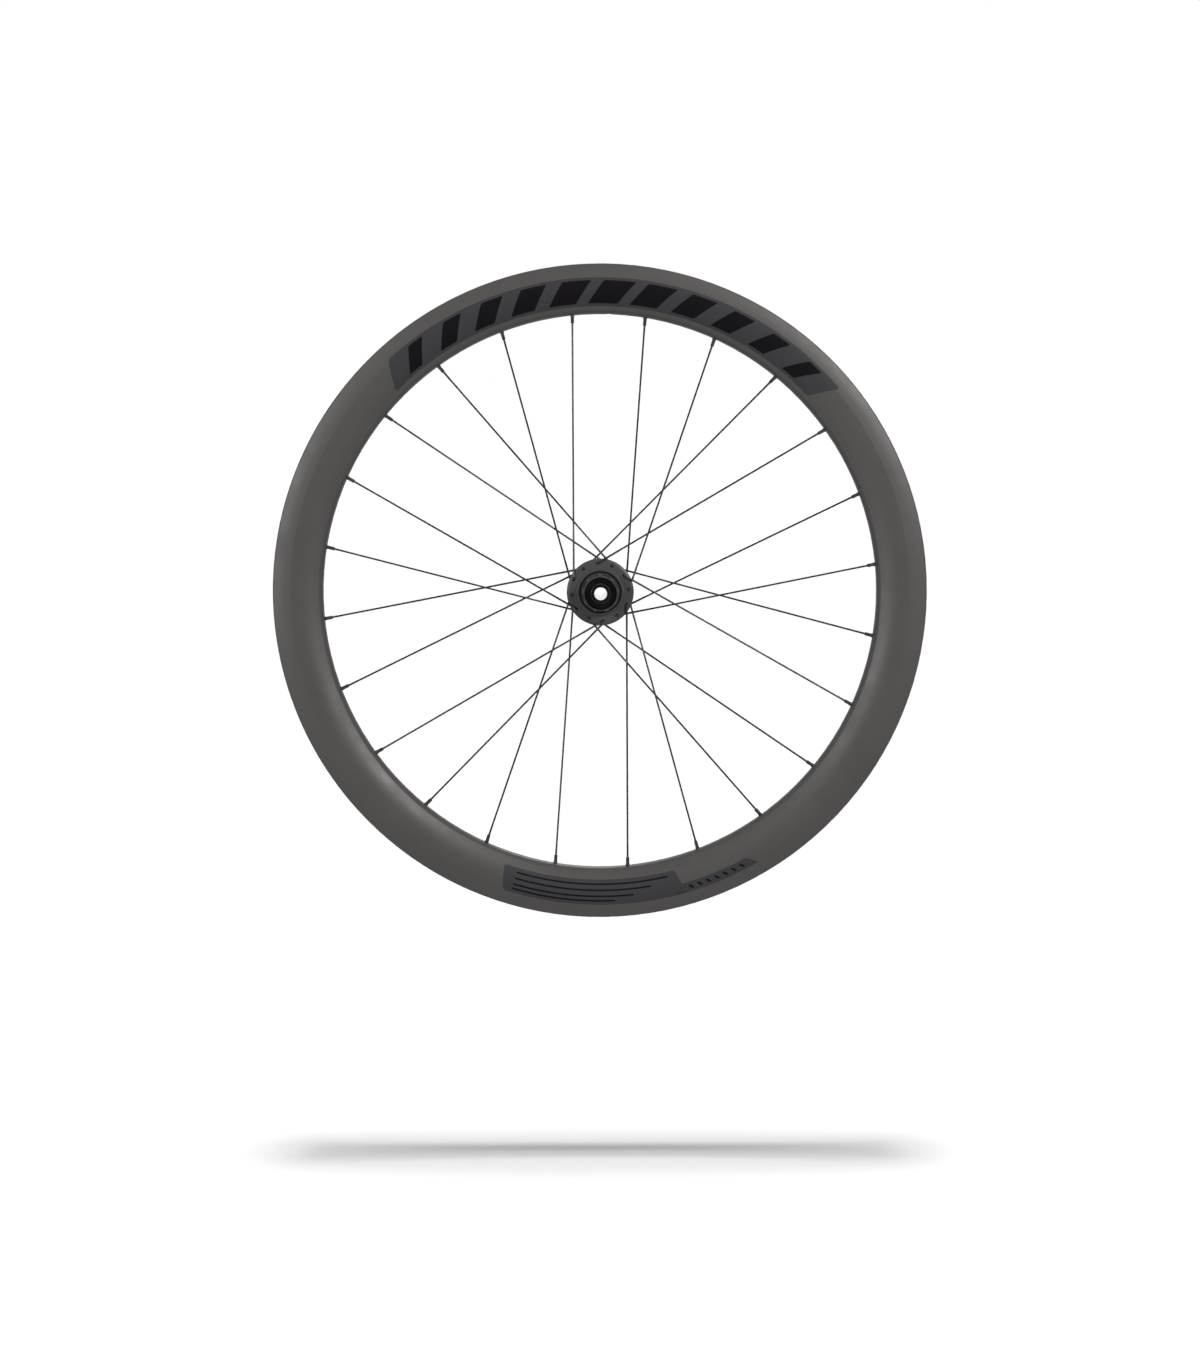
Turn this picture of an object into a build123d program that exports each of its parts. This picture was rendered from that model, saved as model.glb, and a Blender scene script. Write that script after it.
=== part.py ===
from build123d import *
import os
from math import cos, radians, sin, sqrt, tan

# A rear bicycle wheel: deep hollow rim, crossed spokes, disc-brake hub and pawl freehub.
# Frame: the origin is the wheel's centre. Y runs along the axle with the drive side towards -Y,
# X is forward and Z is up. Angles are counter-clockwise as seen from the drive side.
# All sizes are in millimetres.

# Rim section
bead_seat_diameter = 622.0
rim_flange_height = 6.0
rim_depth = 48.0
rim_width = 28.0
rim_lip_width = 24.6
tyre_inner_width = 19.6
rim_widest_height = 31.0
rim_nose_radius = 8.0
rim_wall = 1.4
spoke_bed_thickness = 2.8
tyre_bed_thickness = 1.7
drop_centre_depth = 3.2
drop_centre_width = 8.0
drop_centre_slope = 3.0
hook_overhang = 0.6
hook_height = 1.8
lip_rounding = 1.2
access_hole_diameter = 8.5
valve_hole_diameter = 6.6
valve_gap = 5

# Lacing and spokes
spoke_count = 24
crosses = 2
first_spoke_angle = 5.7
spoke_end_diameter = 2.0
spoke_middle_diameter = 1.8
spoke_butt_length = 16.0
spoke_taper_length = 10.0
spoke_thread_length = 14.0
spoke_head_diameter = 3.6
spoke_head_height = 1.3
elbow_radius = 2.5
elbow_height = 2.6
crossing_radius = 30.0
crossing_gap = 0.12
spoke_hole_clearance = 0.2

# Nipples
nipple_body_diameter = 4.0
nipple_head_diameter = 6.0
nipple_head_height = 2.2
nipple_length = 12.0
nipple_round_length = 3.6
nipple_flats = 3.25
nipple_tip_chamfer = 0.5
nipple_slot_width = 1.1
nipple_slot_depth = 0.9
nipple_seat_sink = 0.5
nipple_clearance = 0.1
thread_clearance = 0.05

# Hub shell
over_locknut_width = 142.0
flange_hole_circle = 56.0
flange_thickness = 3.0
flange_chamfer_width = 2.2
flange_chamfer_depth = 0.9
flange_root_rounding = 0.8
drive_flange_margin = 4.4
drive_flange_inset = 6.0
disc_flange_margin = 2.5
disc_flange_inset = 16.5
shell_lip_wall = 1.6
shell_lip_rounding = 0.5
shell_mouth_depth = 3.2
shell_barrel_wall = 3.0
shell_seat_wall = 2.6
shell_neck_diameter = 30.0
shell_neck_wall = 2.8
shell_flare = 4.0

# Disc rotor spline
rotor_thread_step = 1.0
rotor_spline_wall = 3.2
rotor_spline_depth = 0.8
rotor_spline_count = 54
rotor_spline_length = 7.5
rotor_seat_height = 2.3
disc_cap_projection = 12.5
boss_waist_depth = 2.0

# Ratchet and pawls
ratchet_teeth = 36
ratchet_length = 9.5
ratchet_wall = 1.9
tooth_height = 1.2
tooth_tip_gap = 0.4
pawl_count = 3
pawl_width = 7.0
pawl_pivot_depth = 1.8
pawl_pivot_angle = 32.0
pawl_heel_radius = 1.6
pawl_tip_height = 2.1
pawl_fold_angle = 12.0
pawl_tip_clearance = 0.1
pawl_pocket_clearance = 0.15
first_pawl_angle = 1.0
spring_wire_diameter = 0.8
spring_depth = 0.8
spring_groove_clearance = 0.1
spring_opening_angle = 12.0

# Freehub body
freehub_nose_wall = 5.1
freehub_land_height = 1.3
freehub_collar_height = 1.2
freehub_collar_width = 3.5
freehub_collar_rounding = 0.6
freehub_edge_rounding = 0.4
freehub_seal_section = 3.2
freehub_seal_rounding = 0.3
cassette_spline_length = 36.9
cassette_rib_height = 1.35
cassette_rib_count = 9
cassette_rib_width = 4.6
cassette_key_width = 3.0
cassette_key_rib = 6
first_rib_angle = 11.0
lockring_thread_diameter = 30.5
lockring_thread_depth = 8.4
lockring_thread_wall = 0.85
drive_cap_projection = 4.6
freehub_seat_step = 1.7
running_gap = 0.5

# Axle, end caps and spacers
thru_axle_bore = 12.1
axle_wall = 1.45
axle_shoulder_height = 1.5
end_cap_wall = 2.15
end_cap_face_thickness = 5.0
end_cap_chamfer = 0.8
end_cap_foot_wall = 1.3
end_cap_foot_length = 1.0
end_cap_foot_rounding = 0.3
spacer_wall = 1.0
spacer_running_gap = 0.4
o_ring_thickness = 1.0
o_ring_depth = 3.0

# Bearings, whose section is the height from bore to outside
hub_bearing_section = 6.5
hub_bearing_width = 7.0
hub_ball_diameter = 4.0
hub_ball_count = 11
freehub_bearing_section = 4.5
freehub_bearing_width = 5.0
freehub_ball_diameter = 2.4
freehub_ball_count = 15
ball_clearance = 0.06
cage_clearance = 0.1
race_shoulder = 0.27
cage_thickness = 0.12
seal_thickness = 0.4
seal_recess = 0.3
seal_lip_gap = 0.15

# Fits
seat_gap = 0.02
seal_running_gap = 0.1

# Radii and axial places that follow from the sizes above
bead_radius = bead_seat_diameter / 2
rim_radius = bead_radius + rim_flange_height
rim_inner_radius = rim_radius - rim_depth
spoke_bed_radius = rim_inner_radius + spoke_bed_thickness
nipple_seat_radius = spoke_bed_radius - nipple_seat_sink
hole_circle_radius = flange_hole_circle / 2
spoke_pitch = 360 / spoke_count
lacing_angle = crosses * 2 * spoke_pitch
axle_bore = thru_axle_bore / 2
axle_radius = axle_bore + axle_wall
spacer_radius = axle_radius + spacer_wall
hub_bearing_radius = axle_radius + hub_bearing_section
freehub_bearing_radius = axle_radius + freehub_bearing_section
nose_bore = spacer_radius + spacer_running_gap
nose_radius = nose_bore + freehub_nose_wall
tooth_tip = nose_radius + tooth_tip_gap
tooth_root = tooth_tip + tooth_height
ratchet_radius = tooth_root + ratchet_wall
lockring_radius = lockring_thread_diameter / 2
cassette_root = lockring_radius + lockring_thread_wall
land_radius = cassette_root + freehub_land_height
mouth_radius = land_radius + freehub_seal_section
cap_face = over_locknut_width / 2
axle_end = cap_face - end_cap_face_thickness

freehub_end = -cap_face + drive_cap_projection
spline_start = freehub_end + cassette_spline_length
collar_start = spline_start + freehub_collar_width
shell_drive_end = collar_start + running_gap
ratchet_outer_end = shell_drive_end + shell_mouth_depth
ratchet_inner_end = ratchet_outer_end + ratchet_length
drive_bearing_end = ratchet_inner_end + hub_bearing_width
freehub_start = ratchet_inner_end - running_gap
land_start = ratchet_outer_end - running_gap
freehub_seat_end = ratchet_outer_end - freehub_seat_step
lockring_floor = freehub_end + lockring_thread_depth
shell_disc_end = cap_face - disc_cap_projection
rotor_seat = shell_disc_end - rotor_spline_length
disc_bearing_start = rotor_seat - hub_bearing_width
drive_flange = shell_drive_end + drive_flange_inset
disc_flange = rotor_seat - disc_flange_inset

nodes = {}


def turned(*corners):
    """Solid turned about the axle. A corner is (radius, axial place), with a rounding as a third value."""
    points = [corner[:2] for corner in corners]
    rounds = [corner[2] if len(corner) > 2 else 0 for corner in corners]
    return revolve(make_face(FilletPolyline(*points, radius=rounds, close=True)), Axis.Y)


def turned_ring(radius, wire_radius, axial, arc=360.0):
    """Ring of round wire about the axle."""
    return revolve(Pos(radius, axial) * Circle(wire_radius), Axis.Y, revolution_arc=arc)


def on_circle(radius, angle, axial=0.0):
    """Point at a radius and angle about the axle."""
    return Vector(radius * cos(radians(angle)), axial, radius * sin(radians(angle)))


def turn(angle):
    """Turn about the axle, counter-clockwise as seen from the drive side."""
    return Rot(0, -angle, 0)


def side_view(axial):
    """Sketch plane across the axle, with X to the right and Z up, that extrudes towards the drive side."""
    return Plane(origin=(0, axial, 0), x_dir=(1, 0, 0), z_dir=(0, -1, 0))


def rod(start, direction, *stations):
    """Round bar along a line, through stations given as (distance from the start, radius)."""
    outline = [(0, stations[0][0])]
    outline += [(radius, distance) for distance, radius in stations]
    outline.append((0, stations[-1][0]))
    profile = Plane.XZ * make_face(Polyline(*outline, close=True))
    return Plane(origin=start, z_dir=direction) * revolve(profile, Axis.Z)


def bend_reach(way_in, way_out, bend_radius):
    """Length from a bend's corner to the ends of its arc."""
    return bend_radius * tan(radians(way_in.get_angle(way_out) / 2))


def bend(corner, way_in, way_out, bend_radius, radius):
    """Bent stretch of a round bar at a corner between two directions."""
    start = corner - way_in * bend_reach(way_in, way_out, bend_radius)
    inward = (way_out - way_in * way_in.dot(way_out)).normalized()
    hinge = Axis(start + inward * bend_radius, way_in.cross(inward))
    section = Plane(origin=start, z_dir=way_in) * Circle(radius)
    return revolve(section, hinge, revolution_arc=way_in.get_angle(way_out))


def rim_outline(inset):
    """Rim section without its tyre channel, in (radius, axial), with every wall moved in by inset."""
    apex = rim_inner_radius + inset
    half_width = rim_width / 2 - inset
    nose = rim_nose_radius - inset
    height = rim_widest_height - inset
    side = (half_width**2 + height**2 - 2 * height * nose) / (2 * (half_width - nose))
    to_nose = Vector(nose - height, side - half_width).normalized()
    nose_end = Vector(apex + nose, 0) + to_nose * nose
    widest = Vector(apex + height, half_width)
    lip = Vector(rim_radius, rim_lip_width / 2 - inset)
    nose_arc = TangentArc((apex, 0), nose_end, tangent=(0, 1))
    side_arc = TangentArc(nose_end, widest, tangent=nose_arc % 1)
    lip_arc = TangentArc(widest, lip, tangent=(1, 0))
    half = Curve() + [nose_arc, side_arc, lip_arc, Line(lip, (rim_radius, 0))]
    return make_face(half + mirror(half, about=Plane.XZ))


def across(corners):
    """Face in (radius, axial) from the corners of its positive half, mirrored about the centre plane."""
    other_half = [(radius, -axial) for radius, axial in reversed(corners)]
    return make_face(Polyline(*corners, *other_half, close=True))


class SpokeLine:
    """Course of one spoke with its nipple at angle 0: hub hole, elbow corner, crossing and nipple seat.

    side is -1 on the drive flange and 1 on the disc flange. An outer spoke lies on the flange's outer
    face and passes behind its inner neighbour where the two cross.
    """

    def __init__(self, side, outer):
        flange = drive_flange if side < 0 else disc_flange
        way = side if outer else -side
        self.out = Vector(0, way, 0)
        self.hole_angle = lacing_angle if outer else -lacing_angle
        cross_angle = spoke_pitch if outer else -spoke_pitch
        head_place = flange - way * flange_thickness / 2
        self.head_seat = on_circle(hole_circle_radius, self.hole_angle, head_place)
        elbow_place = flange + way * (flange_thickness / 2 + elbow_height)
        self.elbow = on_circle(hole_circle_radius, self.hole_angle, elbow_place)
        self.seat = on_circle(nipple_seat_radius, 0)
        cross_radius = (
            nipple_seat_radius * hole_circle_radius * sin(radians(lacing_angle))
            / (nipple_seat_radius * sin(radians(spoke_pitch))
               + hole_circle_radius * sin(radians(lacing_angle - spoke_pitch)))
        )
        hole_height = hole_circle_radius * cos(radians(lacing_angle))
        cross_height = cross_radius * cos(radians(spoke_pitch))
        still_to_go = (nipple_seat_radius - cross_height) / (nipple_seat_radius - hole_height)
        apart = (spoke_middle_diameter + crossing_gap) / 2
        cross_place = flange * still_to_go + side * (-apart if outer else apart)
        self.crossing = on_circle(cross_radius, cross_angle, cross_place)
        self.to_crossing = (self.crossing - self.elbow).normalized()
        self.to_rim = (self.seat - self.crossing).normalized()
        across_spoke = Vector(0, 1, 0).cross(self.to_rim)
        self.nipple_frame = Plane(origin=self.seat, x_dir=across_spoke, z_dir=self.to_rim)


def make_spoke(line):
    """Butted spoke: headed shank through the flange, elbow, slight bend at the crossing, threaded end."""
    end_radius = spoke_end_diameter / 2
    middle_radius = spoke_middle_diameter / 2
    head_radius = spoke_head_diameter / 2
    elbow_reach = bend_reach(line.out, line.to_crossing, elbow_radius)
    cross_reach = bend_reach(line.to_crossing, line.to_rim, crossing_radius)
    shank = (line.elbow - line.head_seat).length - elbow_reach
    inner_run = (line.crossing - line.elbow).length - elbow_reach - cross_reach
    thread_end = nipple_head_height - nipple_slot_depth
    outer_run = (line.seat - line.crossing).length - cross_reach + thread_end
    pieces = [
        rod(
            line.head_seat,
            line.out,
            (-spoke_head_height, end_radius),
            (-spoke_head_height / 2, head_radius),
            (0, head_radius),
            (0, end_radius),
            (shank, end_radius),
        ),
        bend(line.elbow, line.out, line.to_crossing, elbow_radius, end_radius),
        rod(
            line.elbow + line.to_crossing * elbow_reach,
            line.to_crossing,
            (0, end_radius),
            (spoke_butt_length, end_radius),
            (spoke_butt_length + spoke_taper_length, middle_radius),
            (inner_run, middle_radius),
        ),
        bend(line.crossing, line.to_crossing, line.to_rim, crossing_radius, middle_radius),
        rod(
            line.crossing + line.to_rim * cross_reach,
            line.to_rim,
            (0, middle_radius),
            (outer_run - spoke_thread_length - spoke_taper_length, middle_radius),
            (outer_run - spoke_thread_length, end_radius),
            (outer_run, end_radius),
        ),
    ]
    return pieces[0].fuse(*pieces[1:])


def make_nipple():
    """Nipple with its seat at the local origin, head up: round neck, wrench flats, slotted head."""
    body_radius = nipple_body_diameter / 2
    head_radius = nipple_head_diameter / 2
    body_length = nipple_length - nipple_head_height
    blank = rod(
        (0, 0, 0),
        (0, 0, 1),
        (-body_length, body_radius - nipple_tip_chamfer),
        (-body_length + nipple_tip_chamfer, body_radius),
        (0, body_radius),
        (0, head_radius),
        (nipple_head_height / 2, head_radius),
        (nipple_head_height, body_radius),
    )
    flats_length = body_length - nipple_round_length
    flats_middle = Pos(0, 0, -nipple_round_length - flats_length / 2)
    around = Box(nipple_head_diameter, nipple_head_diameter, flats_length)
    flats = flats_middle * (around - Box(nipple_flats, nipple_flats, flats_length))
    slot_cutter = Box(nipple_head_diameter, nipple_slot_width, 2 * nipple_slot_depth)
    slot = Pos(0, 0, nipple_head_height) * slot_cutter
    bore = Cylinder(spoke_end_diameter / 2 + thread_clearance, 2 * nipple_length)
    return blank - flats - slot - bore


def make_bearing(name, start, outside, width, ball, count):
    """Sealed bearing on the axle, from its face at start towards +Y: races, balls, cage and two seals."""
    middle = start + width / 2
    end = start + width
    pitch_radius = (axle_radius + outside) / 2
    inner_top = pitch_radius - race_shoulder * ball
    outer_top = pitch_radius + race_shoulder * ball
    groove = turned_ring(pitch_radius, ball / 2 + ball_clearance, middle)
    bore = axle_radius + seat_gap
    rim = outside - seat_gap
    inner = turned((bore, start), (inner_top, start), (inner_top, end), (bore, end)) - groove
    outer = turned((outer_top, start), (rim, start), (rim, end), (outer_top, end)) - groove
    pocket_radius = ball / 2 + cage_clearance
    balls = []
    pockets = []
    for index in range(count):
        angle = (index + 0.5) * 360 / count
        balls.append(Pos(on_circle(pitch_radius, angle, middle)) * Sphere(ball / 2))
        pocket_ends = ((inner_top, pocket_radius), (outer_top, pocket_radius))
        pockets.append(rod(on_circle(0, 0, middle), on_circle(1, angle), *pocket_ends))
    cage_half = width / 2 - seal_recess - seal_thickness - seal_lip_gap
    cage_in = pitch_radius - cage_thickness * ball
    cage_out = pitch_radius + cage_thickness * ball
    cage = turned(
        (cage_in, middle - cage_half),
        (cage_out, middle - cage_half),
        (cage_out, middle + cage_half),
        (cage_in, middle + cage_half),
    )
    seals = []
    for face, inward in ((start, 1), (end, -1)):
        near = face + inward * seal_recess
        far = near + inward * seal_thickness
        lip = inner_top + seal_lip_gap
        grip = outer_top - seat_gap
        seals.append(turned((lip, near), (grip, near), (grip, far), (lip, far)))
    nodes[name + "_inner_race"] = inner
    nodes[name + "_outer_race"] = outer
    nodes[name + "_balls"] = Compound(children=balls)
    nodes[name + "_cage"] = cage - pockets
    nodes[name + "_seals"] = Compound(children=seals)


# Spokes and nipples: the four kinds of spoke repeat in turn round the rim, so that both flanges
# carry alternate outer and inner spokes
kinds = {
    "drive_inner": (0, SpokeLine(-1, False)),
    "disc_inner": (1, SpokeLine(1, False)),
    "drive_outer": (2, SpokeLine(-1, True)),
    "disc_outer": (3, SpokeLine(1, True)),
}
nipple = make_nipple()
nipples = []
rim_cuts = []
flange_cuts = []
neck_radius = nipple_body_diameter / 2 + nipple_clearance
spot_radius = nipple_head_diameter / 2 + nipple_clearance
access_radius = access_hole_diameter / 2
spoke_hole_radius = spoke_end_diameter / 2 + spoke_hole_clearance
well_radius = bead_radius - drop_centre_depth
neck_hole = rod((0, 0, 0), (0, 0, 1), (-nipple_length, neck_radius), (0, neck_radius))
spot_face = rod((0, 0, 0), (0, 0, 1), (0, spot_radius), (nipple_length, spot_radius))
access_start = on_circle(well_radius - 2 * tyre_bed_thickness, 0)
access_hole = rod(access_start, (1, 0, 0), (0, access_radius), (rim_depth, access_radius))
for kind, (place, line) in kinds.items():
    spoke = make_spoke(line)
    hole_ends = ((-flange_thickness, spoke_hole_radius), (2 * flange_thickness, spoke_hole_radius))
    spoke_hole = rod(line.head_seat, line.out, *hole_ends)
    for number in range(spoke_count // len(kinds)):
        angle = first_spoke_angle + spoke_pitch * (place + len(kinds) * number)
        nodes[f"spoke_{kind}_{number + 1}"] = turn(angle) * spoke
        nipples.append(turn(angle) * (line.nipple_frame * nipple))
        rim_cuts.append(turn(angle) * (line.nipple_frame * neck_hole))
        rim_cuts.append(turn(angle) * (line.nipple_frame * spot_face))
        rim_cuts.append(turn(angle) * access_hole)
        flange_cuts.append(turn(angle) * spoke_hole)
nodes["nipples"] = Compound(children=nipples)

# Rim: a hollow two-walled section turned about the axle, drilled for nipples, their access and the valve
half_well = drop_centre_width / 2
shelf_start = half_well + drop_centre_slope
half_inner = tyre_inner_width / 2
hook_edge = half_inner - hook_overhang
hook_start = rim_radius - 2 * hook_height
channel = across([
    (well_radius, half_well),
    (bead_radius, shelf_start),
    (bead_radius, half_inner),
    (hook_start, half_inner),
    (hook_start + hook_height / 2, hook_edge),
    (rim_radius + rim_depth, hook_edge),
])
above_cavity = across([
    (well_radius - tyre_bed_thickness, half_well + tyre_bed_thickness / 2),
    (bead_radius - tyre_bed_thickness, shelf_start + tyre_bed_thickness / 2),
    (bead_radius - tyre_bed_thickness, rim_width),
    (rim_radius + rim_depth, rim_width),
])
below_cavity = across([(0, rim_width), (spoke_bed_radius, rim_width)])
cavity = rim_outline(rim_wall) - above_cavity - below_cavity
section = rim_outline(0) - channel
lip_corners = section.vertices().filter_by_position(Axis.X, rim_radius - seat_gap, rim_radius + seat_gap)
section = fillet(lip_corners, lip_rounding) - cavity
valve_angle = first_spoke_angle + spoke_pitch * (valve_gap + 0.5)
valve_radius = valve_hole_diameter / 2
valve_start = on_circle(rim_inner_radius - rim_depth, valve_angle)
valve_hole = rod(valve_start, on_circle(1, valve_angle), (0, valve_radius), (3 * rim_depth, valve_radius))
nodes["rim"] = revolve(section, Axis.Y) - rim_cuts - valve_hole

# Hub shell: turned in one piece with both flanges, bearing seats, ratchet seat and rotor spline
drive_out = drive_flange - flange_thickness / 2
drive_in = drive_flange + flange_thickness / 2
disc_in = disc_flange - flange_thickness / 2
disc_out = disc_flange + flange_thickness / 2
drive_rim = hole_circle_radius + drive_flange_margin
disc_rim = hole_circle_radius + disc_flange_margin
barrel = ratchet_radius + shell_barrel_wall
bearing_wall = hub_bearing_radius + shell_seat_wall
neck = shell_neck_diameter / 2
neck_bore = neck - shell_neck_wall
rotor_thread = hub_bearing_radius + rotor_thread_step
spline_top = rotor_thread + rotor_spline_wall
boss = spline_top + rotor_seat_height
waist = boss - boss_waist_depth
lip = mouth_radius + shell_lip_wall
shell = turned(
    (mouth_radius, shell_drive_end),
    (lip, shell_drive_end, shell_lip_rounding),
    (lip, drive_out, flange_root_rounding),
    (drive_rim - flange_chamfer_width, drive_out),
    (drive_rim, drive_out + flange_chamfer_depth),
    (drive_rim, drive_in - flange_chamfer_depth),
    (drive_rim - flange_chamfer_width, drive_in),
    (barrel, drive_in, shell_flare),
    (barrel, ratchet_inner_end, shell_flare),
    (bearing_wall, drive_bearing_end, shell_flare),
    (neck, drive_bearing_end + 2 * shell_flare, shell_flare),
    (neck, disc_in - 2 * shell_flare, shell_flare),
    (bearing_wall, disc_in, shell_flare),
    (disc_rim - flange_chamfer_width, disc_in),
    (disc_rim, disc_in + flange_chamfer_depth),
    (disc_rim, disc_out - flange_chamfer_depth),
    (disc_rim - flange_chamfer_width, disc_out),
    (waist, disc_out, shell_flare / 2),
    (waist, rotor_seat - 2 * boss_waist_depth, boss_waist_depth),
    (boss, rotor_seat - boss_waist_depth),
    (boss, rotor_seat),
    (spline_top, rotor_seat),
    (spline_top, shell_disc_end, rotor_spline_depth),
    (rotor_thread, shell_disc_end),
    (rotor_thread, rotor_seat),
    (hub_bearing_radius, rotor_seat),
    (hub_bearing_radius, disc_bearing_start),
    (neck_bore, disc_bearing_start),
    (neck_bore, drive_bearing_end),
    (hub_bearing_radius, drive_bearing_end),
    (hub_bearing_radius, ratchet_inner_end),
    (ratchet_radius, ratchet_inner_end),
    (ratchet_radius, ratchet_outer_end),
    (mouth_radius, ratchet_outer_end),
)
spline_root = spline_top - rotor_spline_depth
spline_pitch = 360 / rotor_spline_count
groove_width = spline_root * radians(spline_pitch) / 2
spline_groove = Pos(spline_top, rotor_seat + rotor_spline_length / 2, 0) * Box(
    2 * rotor_spline_depth, rotor_spline_length, groove_width
)
spline_grooves = [turn(index * spline_pitch) * spline_groove for index in range(rotor_spline_count)]
nodes["hub_shell"] = shell - flange_cuts - spline_grooves

# Ratchet ring: screwed into the shell, with saw teeth. Their driving faces are square to the line from
# a pawl's pivot to its tip, so that the pawl swings clear of its tooth as it folds.
tooth_pitch = 360 / ratchet_teeth
pawl_pivot_radius = nose_radius - pawl_pivot_depth
pivot = Vector(pawl_pivot_radius, 0).rotate(Axis.Z, pawl_pivot_angle)
tip = Vector(tooth_root - 2 * pawl_tip_clearance, pawl_tip_clearance)
reach = (tip - pivot).normalized()
down_face = Vector(reach.Y, -reach.X)
tooth_foot = Vector(tooth_root, 0)
foot_to_middle = -tooth_foot.dot(down_face)
face_length = foot_to_middle - sqrt(foot_to_middle**2 - tooth_root**2 + tooth_tip**2)
crest = tooth_foot + down_face * face_length
saw_teeth = []
for index in range(ratchet_teeth):
    angle = first_pawl_angle + index * tooth_pitch
    saw_teeth += [corner.rotate(Axis.Z, angle) for corner in (crest, tooth_foot)]
ring_blank = Circle(ratchet_radius - seat_gap) - make_face(Polyline(*saw_teeth, close=True))
nodes["ratchet_ring"] = extrude(side_view(ratchet_inner_end) * ring_blank, ratchet_length)

# Pawls: each rocks on its round heel in a pocket of the freehub, with its tip against a tooth
next_crest = crest.rotate(Axis.Z, tooth_pitch)
knee = next_crest - next_crest.normalized() * 2 * pawl_tip_clearance
tip_under = tip + down_face * pawl_tip_height
heel_top = pivot + pivot.normalized() * pawl_heel_radius
under_way = (tip_under - pivot).normalized()
heel_under = pivot - Vector(-under_way.Y, under_way.X) * pawl_heel_radius
pawl_face = make_face(Polyline(tip, knee, heel_top, pivot, heel_under, tip_under, close=True))
pawl_face += Pos(pivot) * Circle(pawl_heel_radius)
nose_middle = (freehub_start + land_start) / 2
pawl_start = nose_middle + pawl_width / 2
wire = spring_wire_diameter / 2
spring_ring_radius = nose_radius - spring_depth
notch_half = wire + spring_groove_clearance + pawl_pocket_clearance
notch_floor = spring_ring_radius - wire - 4 * pawl_pocket_clearance
pawl_notch = turned(
    (notch_floor, nose_middle - notch_half),
    (tooth_root, nose_middle - notch_half),
    (tooth_root, nose_middle + notch_half),
    (notch_floor, nose_middle + notch_half),
)
pawl = extrude(side_view(pawl_start) * pawl_face, pawl_width) - pawl_notch
pawl_pitch = 360 / pawl_count
for index in range(pawl_count):
    nodes[f"pawl_{index + 1}"] = turn(first_pawl_angle + index * pawl_pitch) * pawl

# Pawl spring: an open ring of wire in a groove round the freehub's nose and across the pawls
spring = turned_ring(spring_ring_radius, wire, nose_middle, 360 - spring_opening_angle)
nodes["pawl_spring"] = turn(-pawl_pitch / 4) * spring

# Freehub body: cassette ribs, collar, seal land and a nose with three pawl pockets
collar_radius = land_radius + freehub_collar_height
freehub = turned(
    (nose_bore, freehub_start),
    (nose_radius, freehub_start, freehub_edge_rounding),
    (nose_radius, land_start),
    (land_radius, land_start, freehub_edge_rounding),
    (land_radius, collar_start),
    (collar_radius, collar_start, freehub_collar_rounding),
    (collar_radius, spline_start),
    (cassette_root, spline_start),
    (cassette_root, freehub_end, freehub_edge_rounding),
    (lockring_radius, freehub_end),
    (lockring_radius, lockring_floor),
    (freehub_bearing_radius, lockring_floor),
    (freehub_bearing_radius, freehub_seat_end),
    (nose_bore, freehub_seat_end),
)
rib_top = cassette_root + cassette_rib_height
rib_base = (cassette_root + lockring_radius) / 2
for index in range(cassette_rib_count):
    width = cassette_key_width if index == cassette_key_rib else cassette_rib_width
    rib_box = Pos((rib_base + rib_top) / 2, (spline_start + freehub_end) / 2, 0) * Box(
        rib_top - rib_base, cassette_spline_length, width
    )
    freehub += turn(first_rib_angle + index * 360 / cassette_rib_count) * rib_box
folded_under = pivot + (tip_under - pivot).rotate(Axis.Z, -pawl_fold_angle)
folded_heel = pivot + (heel_under - pivot).rotate(Axis.Z, -pawl_fold_angle)
pocket_corner = folded_under - Vector(2 * pawl_pocket_clearance, 2 * pawl_pocket_clearance)
pocket_end = Vector(tooth_root, pocket_corner.Y)
heel_out = pivot + pivot.normalized() * (tooth_root - pawl_pivot_radius)
pocket_heel = pivot + (folded_heel - pivot).normalized() * (pawl_heel_radius + pawl_pocket_clearance)
pocket_face = make_face(Polyline(pocket_end, heel_out, pivot, pocket_heel, pocket_corner, close=True))
pocket_face += Pos(pivot) * Circle(pawl_heel_radius + pawl_pocket_clearance)
pocket_width = pawl_width + 2 * pawl_pocket_clearance
pocket = extrude(side_view(pawl_start + pawl_pocket_clearance) * pocket_face, pocket_width)
pockets = [turn(first_pawl_angle + index * pawl_pitch) * pocket for index in range(pawl_count)]
groove_half = wire + spring_groove_clearance
spring_groove = turned(
    (spring_ring_radius - groove_half, nose_middle - groove_half),
    (tooth_root, nose_middle - groove_half),
    (tooth_root, nose_middle + groove_half),
    (spring_ring_radius - groove_half, nose_middle + groove_half),
)
nodes["freehub_body"] = freehub - pockets - spring_groove

# Freehub seal: a rubber ring pressed into the shell's mouth, with its lip on the freehub's land
seal_in = land_radius + seal_running_gap
seal_out = mouth_radius - seat_gap
nodes["freehub_seal"] = turned(
    (seal_in, shell_drive_end + seal_recess),
    (seal_out, shell_drive_end + seal_recess, freehub_seal_rounding),
    (seal_out, land_start),
    (seal_in, land_start),
)

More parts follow.
